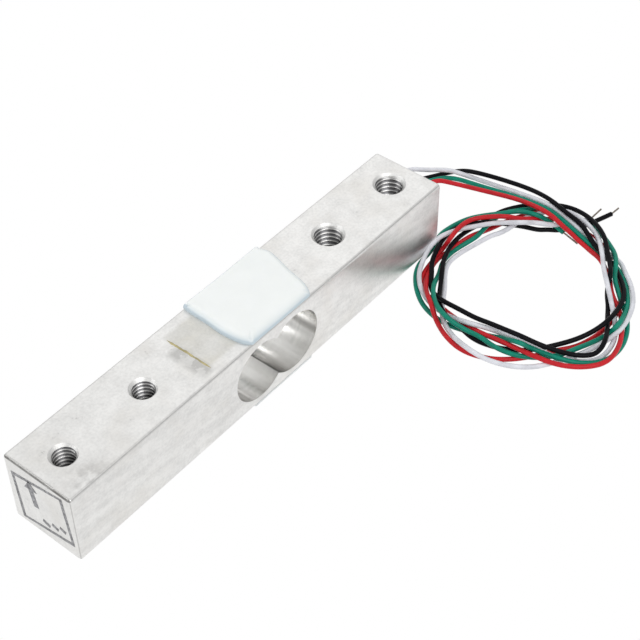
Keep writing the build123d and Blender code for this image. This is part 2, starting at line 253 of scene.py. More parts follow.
class LeadSettings(bpy.types.PropertyGroup):
    diameter: bpy.props.FloatProperty(
        name="Diameter",
        description="Outer diameter of a lead's insulation",
        default=0.78 * MM,
        unit="LENGTH",
    )
    core: bpy.props.FloatProperty(
        name="Core",
        description="Diameter of the bare twisted strands",
        default=0.3 * MM,
        unit="LENGTH",
    )
    red: bpy.props.FloatVectorProperty(
        name="Red",
        description="Colour of the red insulation",
        default=(0.58, 0.012, 0.02),
        subtype="COLOR",
    )
    green: bpy.props.FloatVectorProperty(
        name="Green",
        description="Colour of the green insulation",
        default=(0.0, 0.235, 0.155),
        subtype="COLOR",
    )
    black: bpy.props.FloatVectorProperty(
        name="Black",
        description="Colour of the black insulation",
        default=(0.004, 0.004, 0.006),
        subtype="COLOR",
    )
    white: bpy.props.FloatVectorProperty(
        name="White",
        description="Colour of the white insulation",
        default=(0.74, 0.75, 0.80),
        subtype="COLOR",
    )


class StageSettings(bpy.types.PropertyGroup):
    floor: bpy.props.FloatVectorProperty(
        name="Floor", description="Colour of the floor", default=(0.9, 0.9, 0.9), subtype="COLOR"
    )
    sky: bpy.props.FloatProperty(name="Sky", description="Strength of the white surroundings", default=0.62)
    broad: bpy.props.FloatProperty(name="Broad light", description="Power of the light behind", default=1.35)
    key: bpy.props.FloatProperty(name="Key light", description="Power of the large soft light", default=0.5)


# Node and mesh helpers
def put(tree, kind, inputs=None, **settings):
    """Add a node, set its options, and set or link its inputs."""
    made = tree.nodes.new(kind)
    for key, value in settings.items():
        setattr(made, key, value)
    for key, value in (inputs or {}).items():
        if isinstance(value, bpy.types.NodeSocket):
            tree.links.new(value, made.inputs[key])
        else:
            made.inputs[key].default_value = value
    return made


def start_material(name, colour, roughness, metallic=0.0):
    """A new material with its main shader, object coordinates and plain values."""
    material = bpy.data.materials.new(name)
    material.use_nodes = True
    tree = material.node_tree
    shader = tree.nodes["Principled BSDF"]
    shader.inputs["Base Color"].default_value = (*colour, 1.0)
    shader.inputs["Roughness"].default_value = roughness
    shader.inputs["Metallic"].default_value = metallic
    place = tree.nodes.new("ShaderNodeTexCoord").outputs["Object"]
    return material, tree, shader, place


def rough_noise(tree, place, scale, detail=4.0, stretch=(1, 1, 1), turn=(0, 0, 0)):
    """Noise on stretched object coordinates, as a factor."""
    mapping = {"Vector": place, "Scale": stretch, "Rotation": turn}
    mapped = put(tree, "ShaderNodeMapping", mapping, vector_type="TEXTURE")
    made = put(tree, "ShaderNodeTexNoise", {"Vector": mapped.outputs[0], "Scale": scale, "Detail": detail})
    return made.outputs["Fac"]


def remap(tree, value, low, high, new_low=0.0, new_high=1.0):
    ends = {"From Min": low, "From Max": high, "To Min": new_low, "To Max": new_high}
    return put(tree, "ShaderNodeMapRange", {"Value": value, **ends}).outputs[0]


def maths(tree, operation, a, b=0.0):
    return put(tree, "ShaderNodeMath", {0: a, 1: b}, operation=operation).outputs[0]


def times(tree, first, *others):
    """Product of values or masks."""
    for other in others:
        first = maths(tree, "MULTIPLY", first, other)
    return first


def strongest(tree, first, *others):
    """Largest of several masks."""
    for other in others:
        first = maths(tree, "MAXIMUM", first, other)
    return first


def away_from(tree, value, middle):
    """How far a value is from a middle."""
    return maths(tree, "ABSOLUTE", maths(tree, "SUBTRACT", value, middle))


def axes_of(tree, vector):
    """The three parts of a vector."""
    return put(tree, "ShaderNodeSeparateXYZ", {0: vector}).outputs


def blend_colour(tree, factor, a, b):
    made = tree.nodes.new("ShaderNodeMix")
    made.data_type = "RGBA"
    for socket, value in ((made.inputs[0], factor), (made.inputs[6], a), (made.inputs[7], b)):
        if isinstance(value, bpy.types.NodeSocket):
            tree.links.new(value, socket)
        elif isinstance(value, float):
            socket.default_value = value
        else:
            socket.default_value = (*value, 1.0)
    return made.outputs[2]


def shades_of(colour, dark, light):
    """A darker and a lighter shade of a colour."""
    return tuple(dark * c for c in colour), tuple(min(1.0, light * c) for c in colour)


def bump(tree, shader, height, distance, strength=1.0):
    made = put(tree, "ShaderNodeBump", {"Height": height, "Distance": distance, "Strength": strength})
    tree.links.new(made.outputs[0], shader.inputs["Normal"])


def patch(tree, place, centre, half, soft):
    """1 inside a soft-edged rectangle of the object's X and Y, 0 outside it."""
    masks = []
    for value, middle, reach in zip(axes_of(tree, place), centre, half):
        away = away_from(tree, value, middle)
        masks.append(remap(tree, away, reach - soft, reach + soft, 1.0, 0.0))
    return times(tree, *masks)


def between(values, at):
    """A value at a place between evenly spaced ones, on a smooth curve."""
    last = len(values) - 1
    at = max(0.0, min(float(last), at))
    i = min(int(at), last - 1)
    t = at - i
    p = [values[max(0, min(last, i + k))] for k in (-1, 0, 1, 2)]
    return 0.5 * (
        2 * p[1] + (p[2] - p[0]) * t + (2 * p[0] - 5 * p[1] + 4 * p[2] - p[3]) * t**2
        + (3 * p[1] - p[0] - 3 * p[2] + p[3]) * t**3
    )


def mesh_piece(name, verts, faces, material, smooth_angle=35.0):
    mesh = bpy.data.meshes.new(name)
    mesh.from_pydata([tuple(v) for v in verts], [], faces)
    piece = bpy.data.objects.new(name, mesh)
    bpy.context.scene.collection.objects.link(piece)
    tidy_mesh(piece, smooth_angle)
    piece.data.materials.append(material)
    return piece


def tidy_mesh(piece, smooth_angle):
    """Merge doubles, point faces outwards and shade smooth up to an angle."""
    work = bmesh.new()
    work.from_mesh(piece.data)
    bmesh.ops.remove_doubles(work, verts=work.verts, dist=1e-7)
    bmesh.ops.recalc_face_normals(work, faces=work.faces)
    limit = math.radians(smooth_angle)
    for face in work.faces:
        face.smooth = True
    for edge in work.edges:
        edge.smooth = len(edge.link_faces) == 2 and edge.calc_face_angle(0.0) < limit
    work.to_mesh(piece.data)
    work.free()


def bake_modifiers(piece):
    """Turn a piece with modifiers into a plain mesh."""
    graph = bpy.context.evaluated_depsgraph_get()
    mesh = bpy.data.meshes.new_from_object(piece.evaluated_get(graph), depsgraph=graph)
    piece.modifiers.clear()
    piece.data = mesh


def settle(piece, slot, *nodes):
    """Let a finished piece ride on the part and hide the nodes it stands for. Its slot is not used."""
    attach(piece, BODY)
    if nodes:
        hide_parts(*nodes)
    return piece


# Finishes
def thread_masks(tree, x, y):
    """Masks of the painted shade in the thread grooves and of the countersunk mouths, seen from above."""
    grooves, mouths = [], []
    bar = bpy.context.scene.loadcell_bar
    for thread in THREADS.values():
        crest, sink = thread["drill"], thread["sink"]
        for hole in hole_places(thread["side"], bar):
            off = maths(tree, "SUBTRACT", x, hole)
            reach = maths(tree, "SQRT", maths(tree, "ADD", times(tree, off, off), times(tree, y, y)))
            # painted shade: darkest in the grooves, lighter at the crests
            groove = remap(tree, reach, crest + 0.03 * MM, crest + 0.16 * MM, 0.30, 0.95)
            inside = remap(tree, reach, crest + 0.5 * MM, crest + 0.6 * MM, 1.0, 0.0)
            grooves.append(times(tree, groove, inside))
            mouths.append(remap(tree, reach, sink + 0.02 * MM, sink - 0.04 * MM))
    return strongest(tree, *grooves), strongest(tree, *mouths)


def turned_walls(tree, x, z, rings):
    """Colour of the bore walls, with a painted highlight stripe and a painted shade stripe in the lower side
    of each half.
    """
    bar = bpy.context.scene.loadcell_bar
    turned = blend_colour(tree, remap(tree, rings, 0.25, 0.75), (0.74, 0.735, 0.72), (0.88, 0.875, 0.86))
    lower = remap(tree, z, BAR_MIDDLE.z, BAR_MIDDLE.z - 1 * MM)
    # Painted light: a bright highlight stripe where the lower walls would reflect the lights, and a dark
    # shade stripe where they would reflect the dark roof of the bore
    painted_bands = (
        (0.36, 0.9 * MM, 0.35 * MM, 0.9, (1.0, 1.0, 0.99)),
        (-0.5, 2.0 * MM, 0.6 * MM, 0.75, (0.46, 0.45, 0.44)),
    )
    for side in (-0.5, 0.5):
        middle = bar.bore_offset + side * bar.bore_spacing
        for at, outer, inner, strength, tint in painted_bands:
            shift = away_from(tree, x, middle + at * bar.bore_radius)
            painted_band = times(tree, remap(tree, shift, outer, inner), lower, strength)
            turned = blend_colour(tree, painted_band, turned, tint)
    return turned


def edge_shade_lines(tree, *sides):
    """Mask of a narrow line of painted shade where two faces of the bar meet, from the distances and half
    sizes.
    """
    near = [remap(tree, away, reach - 0.24 * MM, reach - 0.13 * MM) for away, reach in sides]
    pairs = [(near[0], near[2]), (near[1], near[2]), (near[1], near[0])]
    return strongest(tree, *(times(tree, a, b) for a, b in pairs))


def aluminium_finish(colour):
    """Milled aluminium: fine grain, brushed front, painted shade in the threads, turned bore with painted
    highlight and shade stripes, stains, and painted shade towards the load end and along the edges.
    """
    material, tree, shader, place = start_material("milled_aluminium", colour, 0.38, 1.0)
    x, y, z = axes_of(tree, place)
    along = maths(tree, "ABSOLUTE", x)
    across = maths(tree, "ABSOLUTE", y)
    rise = away_from(tree, z, BAR_MIDDLE.z)
    half = BAR_HIGH - BAR_MIDDLE
    top = remap(tree, z, BAR_HIGH.z - 0.1 * MM, BAR_HIGH.z - 0.02 * MM)
    front = remap(tree, y, BAR_LOW.y + 0.05 * MM, BAR_LOW.y + 0.01 * MM)

    # Overall tone: fine grain, soft clouds and blotches, brushed strokes on the front
    grain = rough_noise(tree, place, 2400.0, 3.0)
    cloud = rough_noise(tree, place, 150.0, 5.0)
    blotch = rough_noise(tree, place, 480.0, 7.0)
    brushed = rough_noise(tree, place, 900.0, 5.0, (7.0, 1.0, 1.0), (0.0, 0.16, 0.0))
    shade = maths(tree, "ADD", times(tree, grain, 0.5), times(tree, blotch, 0.5))
    rubbed = times(tree, maths(tree, "SUBTRACT", brushed, 0.5), times(tree, front, 0.55))
    shade = maths(tree, "ADD", shade, rubbed)
    base = blend_colour(tree, remap(tree, shade, 0.34, 0.62), *shades_of(colour, 0.88, 1.06))
    base = blend_colour(tree, remap(tree, cloud, 0.5, 0.68, 0.0, 0.30), base, (0.80, 0.77, 0.72))
    pits = times(tree, remap(tree, blotch, 0.36, 0.28), remap(tree, grain, 0.46, 0.36), 0.45)
    base = blend_colour(tree, pits, base, (0.42, 0.41, 0.40))

    # Painted shade darkening towards the load end, a smudge beside its hole, and the marks of the gauge work
    # by the silicone
    # painted shade: the metal colour darkens smoothly towards the load end
    load_end_shade = remap(tree, x, 0.005, -0.040, 0.0, 0.16)
    base = blend_colour(tree, load_end_shade, base, (0.60, 0.60, 0.59))
    smear = patch(tree, place, (-35.6 * MM, -5.1 * MM), (2.6 * MM, 1.9 * MM), 1.5 * MM)
    broken = remap(tree, rough_noise(tree, place, 620.0, 6.0), 0.36, 0.56)
    base = blend_colour(tree, times(tree, smear, broken, top, 0.6), base, (0.40, 0.39, 0.38))
    ragged = remap(tree, rough_noise(tree, place, 380.0, 7.0), 0.37, 0.45)
    glued = patch(tree, place, (-8.4 * MM, 0.1 * MM), (3.0 * MM, 4.4 * MM), 0.35 * MM)
    glued = times(tree, glued, top, strongest(tree, ragged, 0.85))
    stain = blend_colour(tree, remap(tree, cloud, 0.38, 0.64), (0.64, 0.63, 0.58), (0.69, 0.66, 0.54))
    base = blend_colour(tree, times(tree, glued, 0.36), base, stain)
    torn = patch(tree, place, (-12.3 * MM, -1.7 * MM), (1.1 * MM, 3.4 * MM), 0.5 * MM)
    torn = times(tree, torn, top, strongest(tree, ragged, 0.5), 0.7)
    base = blend_colour(tree, torn, base, (0.46, 0.455, 0.44))

    # Painted shade in the thread grooves, darker deeper in the holes and lighter at the crests, and bright
    # mouths
    threads, mouths = thread_masks(tree, x, y)
    deep = remap(tree, rise, half.z - 0.45 * MM, half.z - 0.75 * MM)
    threads = times(tree, threads, deep)
    mouths = times(tree, mouths, maths(tree, "SUBTRACT", 1.0, deep))
    base = blend_colour(tree, times(tree, mouths, 0.6), base, (0.86, 0.86, 0.85))
    # Painted shade: the grooves are coloured near black where they lie in shade
    base = blend_colour(tree, threads, base, (0.075, 0.075, 0.08))

    # Turned walls of the twin bore, with painted highlight and shade stripes
    bore = times(tree, remap(tree, rise, 5.7 * MM, 5.4 * MM), remap(tree, along, 13 * MM, 12 * MM))
    bore = times(tree, bore, remap(tree, across, half.y - 0.02 * MM, half.y - 0.08 * MM))
    rings = rough_noise(tree, place, 1500.0, 3.0, (8.0, 0.4, 8.0))
    base = blend_colour(tree, bore, base, turned_walls(tree, x, z, rings))

    # Painted shade: a narrow dark line along the broken edges, where the bevels reflect dark surroundings,
    # darkest at the top of the load end
    lines = edge_shade_lines(tree, (across, half.y), (along, half.x), (rise, half.z))
    edge_shade_strength = remap(tree, blotch, 0.35, 0.6, 0.25, 0.7)
    edge_shade_strength = strongest(tree, edge_shade_strength, remap(tree, x, -0.039, -0.0395, 0.0, 0.75))
    base = blend_colour(tree, times(tree, lines, edge_shade_strength), base, (0.30, 0.295, 0.29))
    # Painted shade: darkens the top edge of the load end over its bright reflection
    end_edge_shade = remap(tree, x, -39.62 * MM, -39.80 * MM)
    end_edge_shade = times(tree, end_edge_shade, remap(tree, rise, half.z - 0.42 * MM, half.z - 0.3 * MM))
    end_edge_shade = times(tree, end_edge_shade, remap(tree, blotch, 0.3, 0.6, 0.55, 0.9))
    base = blend_colour(tree, end_edge_shade, base, (0.15, 0.145, 0.14))
    tree.links.new(base, shader.inputs["Base Color"])

    # Roughness of each zone, and the bump
    rough = remap(tree, cloud, 0.3, 0.7, 0.33, 0.43)
    for mask, more in ((bore, -0.17), (glued, 0.15), (threads, -0.12), (mouths, 0.14)):
        rough = maths(tree, "ADD", rough, times(tree, mask, more))
    tree.links.new(rough, shader.inputs["Roughness"])
    height = maths(tree, "ADD", times(tree, grain, 0.8), times(tree, brushed, 0.3))
    height = maths(tree, "ADD", height, times(tree, rings, bore, 0.6))
    bump(tree, shader, height, 0.010 * MM, 0.55)
    return material


def silicone_finish(colour):
    """White room-curing silicone: glossy, a little translucent, with soft waves and painted shade on its
    sloping rim.
    """
    material, tree, shader, place = start_material("white_silicone", colour, 0.22)
    shader.inputs["Subsurface Weight"].default_value = 0.25
    shader.inputs["Subsurface Radius"].default_value = (1.0 * MM, 1.0 * MM, 1.1 * MM)
    shader.inputs["Subsurface Scale"].default_value = 1.0
    shader.inputs["Specular IOR Level"].default_value = 0.5
    cloud = rough_noise(tree, place, 220.0, 3.0)
    base = blend_colour(tree, remap(tree, cloud, 0.35, 0.65), *shades_of(colour, 0.97, 1.0))
    # Painted shade: a blue-grey tint where the rim slopes away from the light, mostly above the bar's face
    normal = tree.nodes.new("ShaderNodeNewGeometry").outputs["Normal"]
    rim_shade = remap(tree, axes_of(tree, normal)[2], 0.99, 0.55, 0.0, 0.8)
    above = remap(tree, axes_of(tree, place)[2], BAR_HIGH.z - 0.1 * MM, BAR_HIGH.z, 0.25, 1.0)
    rim_shade = times(tree, rim_shade, above)
    base = blend_colour(tree, rim_shade, base, (0.47, 0.58, 0.66))
    tree.links.new(base, shader.inputs["Base Color"])
    tree.links.new(remap(tree, cloud, 0.3, 0.7, 0.16, 0.26), shader.inputs["Roughness"])
    bump(tree, shader, rough_noise(tree, place, 500.0, 2.0), 0.03 * MM, 0.5)
    return material


def insulation_finish(name, colour):
    """Extruded insulation: satin gloss, a faint bump and handling marks."""
    material, tree, shader, place = start_material(f"{name}_insulation", colour, 0.38)
    shader.inputs["Specular IOR Level"].default_value = 0.28 if max(colour) > 0.05 else 0.10
    cloud = rough_noise(tree, place, 600.0, 4.0)
    base = blend_colour(tree, remap(tree, cloud, 0.35, 0.7), *shades_of(colour, 0.88, 1.1))
    tree.links.new(base, shader.inputs["Base Color"])
    tree.links.new(remap(tree, cloud, 0.3, 0.7, 0.30, 0.48), shader.inputs["Roughness"])
    bump(tree, shader, rough_noise(tree, place, 900.0, 2.0), 0.008 * MM, 0.3)
    return material


def speckled_finish(name, colour, roughness, metallic, scale=900.0, contrast=0.2):
    """A plain small part's finish with a fine mottle and bump."""
    material, tree, shader, place = start_material(name, colour, roughness, metallic)
    mottle = rough_noise(tree, place, scale, 4.0)
    shades = shades_of(colour, 1 - contrast, 1 + contrast)
    base = blend_colour(tree, remap(tree, mottle, 0.35, 0.65), *shades)
    tree.links.new(base, shader.inputs["Base Color"])
    bump(tree, shader, mottle, 0.01 * MM, 0.5)
    return material


# Bar
def revolve(profile, centre, segments=96):
    """Vertices and faces of a closed profile (radius, height) turned about a vertical axis."""
    verts = []
    for step in range(segments):
        angle = 2 * math.pi * step / segments
        x, y = math.cos(angle), math.sin(angle)
        verts += [(centre[0] + radius * x, centre[1] + radius * y, height) for radius, height in profile]
    count = len(profile)
    faces = []
    for step in range(segments):
        nxt = (step + 1) % segments
        for i in range(count - 1):
            faces.append((step * count + i, nxt * count + i, nxt * count + i + 1, step * count + i + 1))
    faces.append([step * count for step in range(segments)])
    faces.append([step * count + count - 1 for step in reversed(range(segments))])
    return verts, faces


def hole_cutter(x, thread_radius, sink_radius):
    depth = sink_radius - thread_radius
    low, high = BAR_LOW.z, BAR_HIGH.z
    beyond = 1 * MM
    profile = [
        (sink_radius + beyond, low - beyond),
        (sink_radius, low),
        (thread_radius, low + depth),
        (thread_radius, high - depth),
        (sink_radius, high),
        (sink_radius + beyond, high + beyond),
    ]
    return revolve(profile, (x, 0.0))


def bore_cutter(x, radius, segments=160):
    verts = []
    for y in (BAR_LOW.y - 1 * MM, BAR_HIGH.y + 1 * MM):
        for step in range(segments):
            angle = 2 * math.pi * step / segments
            verts.append((x + radius * math.cos(angle), y, BAR_MIDDLE.z + radius * math.sin(angle)))
    faces = [(i, (i + 1) % segments, segments + (i + 1) % segments, segments + i) for i in range(segments)]
    faces.append(list(reversed(range(segments))))
    faces.append(list(range(segments, 2 * segments)))
    return verts, faces


THREADS = {
    "m5": {"side": 1, "drill": 2.1 * MM, "sink": 2.62 * MM, "pitch": 0.8 * MM, "depth": 0.36 * MM},
    "m4": {"side": -1, "drill": 1.65 * MM, "sink": 2.08 * MM, "pitch": 0.7 * MM, "depth": 0.32 * MM},
}


def hole_places(side, settings):
    outer = BAR_HIGH.x - settings.hole_margin
    return [side * outer, side * (outer - settings.hole_pitch)]


def start_tree(name, *numbers):
    """A new geometry nodes tree with number inputs and a finish, and what its inputs give."""
    tree = bpy.data.node_groups.new(name, "GeometryNodeTree")
    for label in numbers:
        tree.interface.new_socket(name=label, in_out="INPUT", socket_type="NodeSocketFloat")
    tree.interface.new_socket(name="Finish", in_out="INPUT", socket_type="NodeSocketMaterial")
    tree.interface.new_socket(name="Geometry", in_out="OUTPUT", socket_type="NodeSocketGeometry")
    return tree, tree.nodes.new("NodeGroupInput").outputs


def end_tree(tree, geometry, finish):
    """Turn copies into real ones, give them their finish and send them out."""
    real = put(tree, "GeometryNodeRealizeInstances", {"Geometry": geometry})
    done = put(tree, "GeometryNodeSetMaterial", {"Geometry": real.outputs[0], "Material": finish})
    put(tree, "NodeGroupOutput", {"Geometry": done.outputs[0]})
    return tree


def helix_curve(tree, resolution, rotations, radius, height):
    ends = {"Start Radius": radius, "End Radius": radius, "Height": height}
    helix = {"Resolution": resolution, "Rotations": rotations, **ends}
    return put(tree, "GeometryNodeCurveSpiral", helix).outputs[0]


def sweep(tree, curve, profile):
    """A closed body along a curve."""
    shape = {"Curve": curve, "Profile Curve": profile, "Fill Caps": True}
    return put(tree, "GeometryNodeCurveToMesh", shape).outputs[0]


def thread_tree():
    """Geometry nodes: the V-shaped way of a tap along a helix, once for each hole of a pair."""
    tree, given = start_tree("hole_thread", "Radius", "Depth", "Pitch", "Height", "Spacing")
    turns = maths(tree, "DIVIDE", given["Height"], given["Pitch"])
    helix = helix_curve(tree, 40, turns, given["Radius"], given["Height"])
    upright = put(tree, "GeometryNodeSetCurveNormal", {"Curve": helix}, mode="Z_UP")
    tall = times(tree, given["Pitch"], 0.46)
    kite = {"Width": times(tree, given["Depth"], 2.0), "Bottom Height": tall, "Top Height": tall}
    ridge = put(tree, "GeometryNodeCurvePrimitiveQuadrilateral", kite, mode="KITE")
    body = sweep(tree, upright.outputs[0], ridge.outputs[0])
    along = put(tree, "ShaderNodeCombineXYZ", {0: given["Spacing"]})
    pair = put(tree, "GeometryNodeMeshLine", {"Count": 2, "Offset": along.outputs[0]})
    both = put(tree, "GeometryNodeInstanceOnPoints", {"Points": pair.outputs[0], "Instance": body})
    return end_tree(tree, both.outputs[0], given["Finish"])


def run_tree(name, tree, values):
    """A plain mesh object from a geometry nodes tree and its input values."""
    piece = bpy.data.objects.new(name, bpy.data.meshes.new(name))
    bpy.context.scene.collection.objects.link(piece)
    maker = piece.modifiers.new("maker", "NODES")
    maker.node_group = tree
    for item in tree.interface.items_tree:
        if item.in_out == "INPUT" and item.name in values:
            maker[item.identifier] = values[item.name]
    bake_modifiers(piece)
    return piece


def move_mesh(piece, matrix):
    piece.data.transform(matrix)
    piece.data.update()


def cut_away(piece, cutters):
    """Cut solid shapes out of a piece."""
    for cutter in cutters:
        cut = piece.modifiers.new("cut", "BOOLEAN")
        cut.operation = "DIFFERENCE"
        cut.solver = "EXACT"
        cut.object = cutter
    bake_modifiers(piece)
    for cutter in cutters:
        bpy.data.objects.remove(cutter)


class LOADCELL_OT_bar(bpy.types.Operator):
    """Machine the bar: broken edges, twin bore and countersunk holes"""

    bl_idname = "loadcell.bar"
    bl_label = "Bar"

    def execute(self, context):
        settings = context.scene.loadcell_bar
        metal = aluminium_finish(settings.colour)
        size = BAR_HIGH - BAR_LOW
        work = bmesh.new()
        stock = Matrix.Translation(BAR_MIDDLE) @ Matrix.Diagonal((*size, 1.0))
        bmesh.ops.create_cube(work, size=1.0, matrix=stock)
        mesh = bpy.data.meshes.new("bar_stock")
        work.to_mesh(mesh)
        work.free()
        bar = bpy.data.objects.new("machined_bar", mesh)
        context.scene.collection.objects.link(bar)
        bar.data.materials.append(metal)
        cutters = [
            bore_cutter(settings.bore_offset + side * settings.bore_spacing / 2, settings.bore_radius)
            for side in (-1, 1)
        ]
        for thread in THREADS.values():
            for x in hole_places(thread["side"], settings):
                cutters.append(hole_cutter(x, thread["drill"], thread["sink"]))
        bevel = bar.modifiers.new("edges", "BEVEL")
        bevel.width = settings.edge
        bevel.segments = 4
        bake_modifiers(bar)
        cut_away(bar, [mesh_piece("cutter", verts, faces, metal) for verts, faces in cutters])
        tree = thread_tree()
        for name, thread in THREADS.items():
            past = 0.5 * MM
            values = {
                "Radius": thread["drill"],
                "Depth": thread["depth"],
                "Pitch": thread["pitch"],
                "Height": BAR_HIGH.z - BAR_LOW.z + 2 * past,
                "Spacing": settings.hole_pitch,
                "Finish": metal,
            }
            tap = run_tree(f"{name}_tap", tree, values)
            start = min(hole_places(thread["side"], settings))
            move_mesh(tap, Matrix.Translation((start, 0.0, BAR_LOW.z - past)))
            tidy_mesh(tap, 30.0)
            cut_away(bar, [tap])
        tidy_mesh(bar, 32.0)
        even = bar.modifiers.new("normals", "WEIGHTED_NORMAL")
        even.keep_sharp = True
        bake_modifiers(bar)
        settle(bar, "aluminium", "bar")
        return {"FINISHED"}


# Silicone
def smooth_through(points, count):
    """Points on a smooth curve through given points."""
    points = [Vector(point) for point in points]
    return [between(points, step / count * (len(points) - 1)) for step in range(count + 1)]


def silicone_cushion(name, outward, thickness, rim, material, seed):
    """A poured cushion on one face of the bar: a rounded rim and a gently waved top."""
    near = smooth_through(NEAR_EDGE, EDGE_POINTS)
    far = smooth_through(FAR_EDGE, EDGE_POINTS)
    front = [near[0].lerp(far[0], i / SPAN_POINTS) for i in range(1, SPAN_POINTS)]
    back = [far[-1].lerp(near[-1], i / SPAN_POINTS) for i in range(1, SPAN_POINTS)]
    loop = list(reversed(near)) + front + far + back
    middle = CUSHION_MIDDLE
    base = BAR_HIGH.z if outward > 0 else BAR_LOW.z
    verts = []
    for ring in range(CUSHION_RINGS + 1):
        inset = (ring / CUSHION_RINGS) ** 1.6
        for point in loop:
            reach = (point - middle).length * MM
            at = middle + (point - middle) * (1 - inset)
            soft = rim
            if abs(point.y) > RIM_REACH:
                soft *= RIM_SHARES["back" if point.y > 0 else "front"]
            depth = min(1.0, inset * reach / soft)
            rise = math.sqrt(max(0.0, 1 - (1 - depth) ** 2.3))
            wave = noise.noise(Vector((at.x * WAVE_SCALE, at.y * WAVE_SCALE, seed)))
            wave *= WAVE_HEIGHT * min(1.0, depth)
            height = thickness * (0.04 + 0.93 * rise + wave * rise)
            if ring == 0:
                height = 0.0
            verts.append((at.x * MM, at.y * MM, base + outward * min(height, thickness)))
    count = len(loop)
    faces = []
    for start in range(0, CUSHION_RINGS * count, count):
        for i in range(count):
            j = (i + 1) % count
            faces.append((start + i, start + j, start + count + j, start + count + i))
    faces.append(list(range(count)))
    return mesh_piece(name, verts, faces, material, 60.0)


def cover_height(y):
    """Top of the silicone where it goes down over the back edge of the bar."""
    return BAR_HIGH.z + COVER_TOP - COVER_SLOPE * max(0.0, y - (HALF_WIDTH - COVER_START))


def press_under(piece, cover):
    """Press what crosses the back edge of the bar in under its silicone."""
    highest = BAR_HIGH.z + PRESS_FROM
    for vertex in piece.data.vertices:
        limit = cover_height(vertex.co.y) - cover
        low = limit - PRESS_SPAN
        if vertex.co.z > low:
            share = min(1.0, PRESS_SPAN / (highest - low))
            vertex.co.z = low + (vertex.co.z - low) * share


def side_silicone(material):
    """The bead on the back face that holds the board and lets the leads out."""
    piece = bpy.data.objects.new("back_silicone", bpy.data.objects["side_silicone"].data.copy())
    bpy.context.scene.collection.objects.link(piece)
    tidy_mesh(piece, 60.0)
    grain = piece.modifiers.new("grain", "REMESH")
    grain.mode = "VOXEL"
    grain.voxel_size = BEAD_GRAIN
    soft = piece.modifiers.new("soft", "SMOOTH")
    soft.factor = 0.6
    soft.iterations = 4
    swell = piece.modifiers.new("swell", "DISPLACE")
    swell.strength = BEAD_SWELL
    swell.mid_level = 0.0
    bake_modifiers(piece)
    press_under(piece, BEAD_COVER)
    for vertex in piece.data.vertices:
        if vertex.co.y < HALF_WIDTH + BEAD_SEAT:
            vertex.co.y = HALF_WIDTH
        vertex.co.z = max(vertex.co.z, 0.0)
    for polygon in piece.data.polygons:
        polygon.use_smooth = True
    piece.data.materials.clear()
    piece.data.materials.append(material)
    return piece


class LOADCELL_OT_silicone(bpy.types.Operator):
    """Pour the silicone over the gauges and the board"""

    bl_idname = "loadcell.silicone"
    bl_label = "Silicone"

    def execute(self, context):
        settings = context.scene.loadcell_silicone
        material = silicone_finish(settings.colour)
        for name, outward, seed in (("top", 1, 3.1), ("bottom", -1, 8.4)):
            piece = silicone_cushion(
                f"{name}_cushion", outward, settings.thickness, settings.rim, material, seed
            )
            settle(piece, "silicone", f"{name}_silicone")
        settle(side_silicone(material), "silicone", "side_silicone")
        return {"FINISHED"}


# Marks
def ribbon(points, width, place):
    """Vertices and faces of a flat stroke through 2-D points, put in 3-D by a function."""
    verts, faces = [], []
    for i, point in enumerate(points):
        ahead = Vector(points[min(i + 1, len(points) - 1)]) - Vector(points[max(i - 1, 0)])
        side = Vector((-ahead.y, ahead.x)).normalized() * width / 2
        verts += [place(Vector(point) + side), place(Vector(point) - side)]
        if i:
            faces.append((2 * i - 2, 2 * i - 1, 2 * i + 1, 2 * i))
    return verts, faces


INK_DEPTH = 0.012 * MM
MARK_LINE = 0.55
MARK_CORNERS = [(4.9, 11.0), (-4.45, 12.7), (-5.35, 3.8), (4.3, 2.3)]
MARK_STROKES = [
    ([(0.3, 4.6), (-1.0, 4.1)], 0.7),
    ([(-1.5, 5.1), (-2.7, 4.7)], 0.7),
    ([(-3.1, 5.7), (-4.2, 5.3)], 0.7),
]
ARROW = [(1.75, 11.7), (2.9, 9.7), (2.1, 9.8), (1.6, 6.5), (0.65, 6.6), (1.15, 9.9), (0.4, 10.0)]


class LOADCELL_OT_mark(bpy.types.Operator):
    """Print the frame, load arrow and scale strokes on the end face"""

    bl_idname = "loadcell.mark"
    bl_label = "End mark"

    def execute(self, context):
        ink = speckled_finish("printed_ink", (0.27, 0.27, 0.28), 0.6, 0.0, 1800.0, 0.5)
        proud = BAR_LOW.x - INK_DEPTH

        def place(point):
            return (proud, point[0] * MM, point[1] * MM)

        verts, faces = [], []

        def add(new_verts, new_faces):
            shift = len(verts)
            verts.extend(new_verts)
            faces.extend([tuple(i + shift for i in face) for face in new_faces])

        middle = sum((Vector(corner) for corner in MARK_CORNERS), Vector((0, 0))) / 4
        half = MARK_LINE / 2
        for reach in (half, -half):
            for corner in MARK_CORNERS:
                away = Vector(corner) - middle
                step = Vector((math.copysign(1, away.x), math.copysign(1, away.y))) * reach
                verts.append(place(Vector(corner) + step))
        faces += [(i, (i + 1) % 4, 4 + (i + 1) % 4, 4 + i) for i in range(4)]
        for points, width in MARK_STROKES:
            add(*ribbon([Vector(p) for p in points], width, place))
        add([place(p) for p in ARROW], [tuple(range(len(ARROW)))])
        piece = mesh_piece("end_mark", verts, faces, ink)
        thick = piece.modifiers.new("thick", "SOLIDIFY")
        thick.thickness = INK_DEPTH
        thick.offset = 0.0
        bake_modifiers(piece)
        tidy_mesh(piece, 30.0)
        settle(piece, "aluminium")
        return {"FINISHED"}


